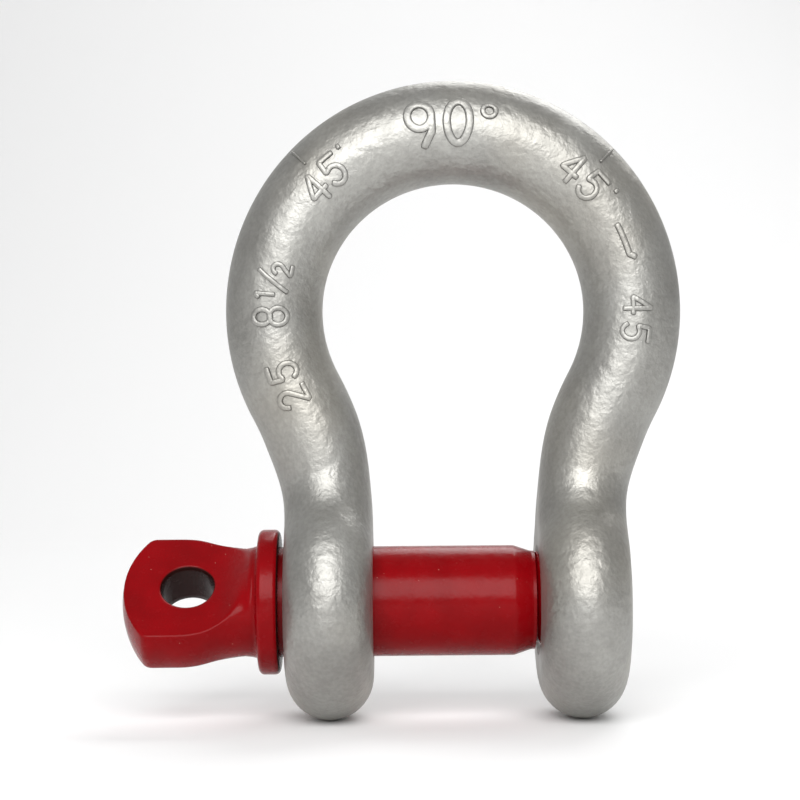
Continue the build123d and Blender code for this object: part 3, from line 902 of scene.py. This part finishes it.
def noise(tree, place, scale, detail, roughness=0.5):
    """Fractal noise on the object's own coordinates, with scale in cycles per metre."""
    node = tree.nodes.new("ShaderNodeTexNoise")
    node.inputs["Scale"].default_value = scale
    node.inputs["Detail"].default_value = detail
    node.inputs["Roughness"].default_value = roughness
    tree.links.new(place, node.inputs["Vector"])
    return node.outputs["Fac"]


def ramp(tree, value, low, high, first=(0, 0, 0), second=(1, 1, 1)):
    """A colour that goes from one to another as a value goes from low to high."""
    node = tree.nodes.new("ShaderNodeValToRGB")
    for element, position, shade in zip(node.color_ramp.elements, (low, high), (first, second)):
        element.position = position
        element.color = (*shade, 1)
    tree.links.new(value, node.inputs["Fac"])
    return node.outputs["Color"]


def grey(tree, value, low, high, first, second):
    """A ramp between two greys."""
    return ramp(tree, value, low, high, (first,) * 3, (second,) * 3)


def mix(tree, factor, first, second, blend="MIX"):
    """Two colours mixed. Each is a socket or a colour, and so is the factor or its number."""
    node = tree.nodes.new("ShaderNodeMix")
    node.data_type = "RGBA"
    node.blend_type = blend
    for socket, value in ((node.inputs[0], factor), (node.inputs[6], first), (node.inputs[7], second)):
        if isinstance(value, bpy.types.NodeSocket):
            tree.links.new(value, socket)
        else:
            socket.default_value = value
    return node.outputs[2]


def share_of(tree, name):
    """The share that each point of a piece has of something, 0 on a piece without it."""
    node = tree.nodes.new("ShaderNodeAttribute")
    node.attribute_name = name
    return node.outputs["Fac"]


def bump(tree, height, strength, distance, under=None):
    """A bump whose height at full noise is a distance in metres, over another bump."""
    node = tree.nodes.new("ShaderNodeBump")
    node.inputs["Strength"].default_value = strength
    node.inputs["Distance"].default_value = distance
    tree.links.new(height, node.inputs["Height"])
    if under is not None:
        tree.links.new(under, node.inputs["Normal"])
    return node.outputs["Normal"]


def new_material(name):
    """A material with one principled shader, its node tree and the object's coordinates."""
    material = bpy.data.materials.new(name)
    material.use_nodes = True
    tree = material.node_tree
    place = tree.nodes.new("ShaderNodeTexCoord").outputs["Object"]
    return material, tree, tree.nodes["Principled BSDF"], place


def matt_zinc(finish):
    """Matt zinc: faint grey clouds, a fine grain, the soft lumps of a forging, and painted shade in the
    creases round the numerals, darkened where the shadow at the foot of each numeral falls. It is made once
    and shared."""
    if "matt_zinc" in bpy.data.materials:
        return bpy.data.materials["matt_zinc"]
    material, tree, shader, place = new_material("matt_zinc")
    clouds = ramp(tree, noise(tree, place, scale=55, detail=5, roughness=0.6), 0.32, 0.68)
    base = mix(tree, clouds, (*finish.steel_dark, 1), (*finish.steel, 1))
    grain = grey(tree, noise(tree, place, scale=900, detail=3), 0.35, 0.7, 0.9, 1.04)
    base = mix(tree, 1.0, base, grain, "MULTIPLY")
    warmth = ramp(tree, noise(tree, place, scale=24, detail=2), 0.5, 0.72, (1, 1, 1), (1.03, 1.0, 0.95))
    base = mix(tree, 1.0, base, warmth, "MULTIPLY")
    # painted shade: the crease round each numeral is darkened to stand in for its shadow
    base = mix(tree, share_of(tree, "crease_shade"), base, (*finish.crease_shade, 1))
    tree.links.new(base, shader.inputs["Base Color"])
    rough = grey(tree, noise(tree, place, scale=160, detail=4), 0.3, 0.7, 0.40, 0.48)
    tree.links.new(rough, shader.inputs["Roughness"])
    shader.inputs["Metallic"].default_value = 0.8
    lumps = bump(tree, noise(tree, place, scale=75, detail=2), 0.5, 0.9 * MM)
    peel = bump(tree, noise(tree, place, scale=420, detail=3), 0.8, 0.36 * MM, lumps)
    pores = bump(tree, noise(tree, place, scale=1300, detail=2), 0.6, 0.12 * MM, peel)
    tree.links.new(pores, shader.inputs["Normal"])
    return material


def gloss_enamel(finish):
    """Glossy red enamel over a forging, slightly uneven, with small specks of dust in it, and near-black
    painted shade where a piece says so. It is made once and shared."""
    if "gloss_enamel" in bpy.data.materials:
        return bpy.data.materials["gloss_enamel"]
    material, tree, shader, place = new_material("gloss_enamel")
    clouds = ramp(tree, noise(tree, place, scale=90, detail=4), 0.35, 0.65)
    base = mix(tree, clouds, (*finish.enamel_dark, 1), (*finish.enamel, 1))
    specks = ramp(tree, noise(tree, place, scale=1300, detail=1), 0.79, 0.82)
    base = mix(tree, specks, base, (*finish.speck, 1))
    # painted shade: near-black where a piece's share says so
    base = mix(tree, share_of(tree, "painted_shade"), base, (*finish.painted_shade_colour, 1))
    tree.links.new(base, shader.inputs["Base Color"])
    rough = grey(tree, noise(tree, place, scale=300, detail=3), 0.3, 0.7, 0.2, 0.3)
    tree.links.new(rough, shader.inputs["Roughness"])
    shader.inputs["Specular IOR Level"].default_value = 0.12
    lumps = bump(tree, noise(tree, place, scale=110, detail=2), 0.35, 0.5 * MM)
    peel = bump(tree, noise(tree, place, scale=800, detail=2), 0.4, 0.12 * MM, lumps)
    tree.links.new(peel, shader.inputs["Normal"])
    return material


def pale_floor(finish):
    """Plain matt paint."""
    material, _, shader, _ = new_material("pale_floor")
    shader.inputs["Base Color"].default_value = (*finish.floor, 1)
    shader.inputs["Roughness"].default_value = 0.9
    return material


# ---- Stage ----

# name, place and target in metres, width and height in metres, power in watts
SOFT_BOXES = [
    ("front_box", (-0.05, -0.75, 0.46), (0, 0, 0.04), 0.75, 0.62, 8.2),
    ("back_box", (0.3, 0.8, 0.9), (0, 0, 0.05), 0.8, 0.6, 6.0),
]
ROOM_LIGHT = 0.46  # strength of the white light from all round


def add_object(name, data):
    """An object in the scene."""
    added = bpy.data.objects.new(name, data)
    bpy.context.scene.collection.objects.link(added)
    return added


def add_floor(stage, finish):
    """A floor that bends up into a backdrop behind the shackle."""
    level, bend, wall = BOW_LOW.z, stage.wall_bend, stage.wall_distance
    profile = np.concatenate(
        [
            line((-stage.floor_front, level), (wall - bend, level)),
            arc(wall - bend, level + bend, bend, bend, -90, 0, 24),
            line((wall, stage.wall_height)),
        ]
    )
    ends = np.array([-0.5, 0.5]) * stage.floor_width
    along, depth = np.meshgrid(ends, profile[:, 0])
    _, up = np.meshgrid(ends, profile[:, 1])
    points = np.stack([along, depth, up], axis=-1).reshape(-1, 3)
    mesh = bpy.data.meshes.new("floor")
    faces = quads(grid_index(0, len(profile), 2), closed=False)
    mesh.from_pydata(points.tolist(), [], faces.reshape(-1, 4).tolist())
    mesh.polygons.foreach_set("use_smooth", np.ones(len(mesh.polygons), bool))
    mesh.materials.append(pale_floor(finish))
    floor = add_object("floor", mesh)


def add_soft_box(name, place, target, width, height, power):
    """A soft box that faces a target."""
    light = bpy.data.lights.new(name, "AREA")
    light.shape = "RECTANGLE"
    light.size, light.size_y, light.energy = width, height, power
    box = add_object(name, light)
    box.location = place
    box.rotation_euler = (Vector(target) - Vector(place)).to_track_quat("-Z", "Y").to_euler()


def add_camera(stage):
    """The camera, which looks along +Y."""
    lens = bpy.data.cameras.new("camera")
    lens.sensor_width = 36
    lens.lens = lens.sensor_width * stage.camera_distance / stage.frame_width
    lens.clip_start = 0.01
    camera = add_object("camera", lens)
    camera.location = (stage.camera_side, -stage.camera_distance, stage.camera_height)
    camera.rotation_euler = (PI / 2, stage.camera_roll, 0)
    bpy.context.scene.camera = camera


class SHACKLE_OT_stage(bpy.types.Operator):
    """Makes the pale floor, the soft lights and the camera"""

    bl_idname = "shackle.stage"
    bl_label = "Stage"

    def execute(self, context):
        scene = context.scene
        add_floor(scene.shackle_stage, scene.shackle_finishes)
        for soft_box in SOFT_BOXES:
            add_soft_box(*soft_box)
        world = bpy.data.worlds.new("room")
        world.use_nodes = True
        world.node_tree.nodes["Background"].inputs["Color"].default_value = (1, 1, 1, 1)
        world.node_tree.nodes["Background"].inputs["Strength"].default_value = ROOM_LIGHT
        scene.world = world
        scene.view_settings.view_transform = "Standard"
        add_camera(scene.shackle_stage)
        return {"FINISHED"}


# ---- Panel and registration ----


class SHACKLE_PT_panel(bpy.types.Panel):
    """Lists what makes the shackle, and its sizes"""

    bl_idname = "SHACKLE_PT_panel"
    bl_label = "Bow Shackle"
    bl_space_type = "VIEW_3D"
    bl_region_type = "UI"
    bl_category = "Shackle"

    def draw(self, context):
        for operator in OPERATORS:
            self.layout.operator(operator.bl_idname)
        for name in GROUPS:
            box = self.layout.box()
            group = getattr(context.scene, name)
            for key in group.__annotations__:
                box.prop(group, key)


GROUPS = {
    "shackle_bow": BowSizes,
    "shackle_pin": PinSizes,
    "shackle_marks": MarkSizes,
    "shackle_finishes": Finishes,
    "shackle_stage": StageSizes,
}
OPERATORS = (
    SHACKLE_OT_bow,
    SHACKLE_OT_marks,
    SHACKLE_OT_collar,
    SHACKLE_OT_shank,
    SHACKLE_OT_eye,
    SHACKLE_OT_stage,
)
CLASSES = (*GROUPS.values(), *OPERATORS, SHACKLE_PT_panel)


def register():
    for item in CLASSES:
        bpy.utils.register_class(item)
    for name, group in GROUPS.items():
        setattr(bpy.types.Scene, name, bpy.props.PointerProperty(type=group))


def unregister():
    for name in GROUPS:
        delattr(bpy.types.Scene, name)
    for item in reversed(CLASSES):
        bpy.utils.unregister_class(item)


def main():
    """Registers the add-on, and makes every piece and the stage."""
    register()
    bpy.ops.shackle.bow()
    bpy.ops.shackle.marks()
    bpy.ops.shackle.collar()
    bpy.ops.shackle.shank()
    bpy.ops.shackle.eye()
    bpy.ops.shackle.stage()


if __name__ == "__main__":
    main()
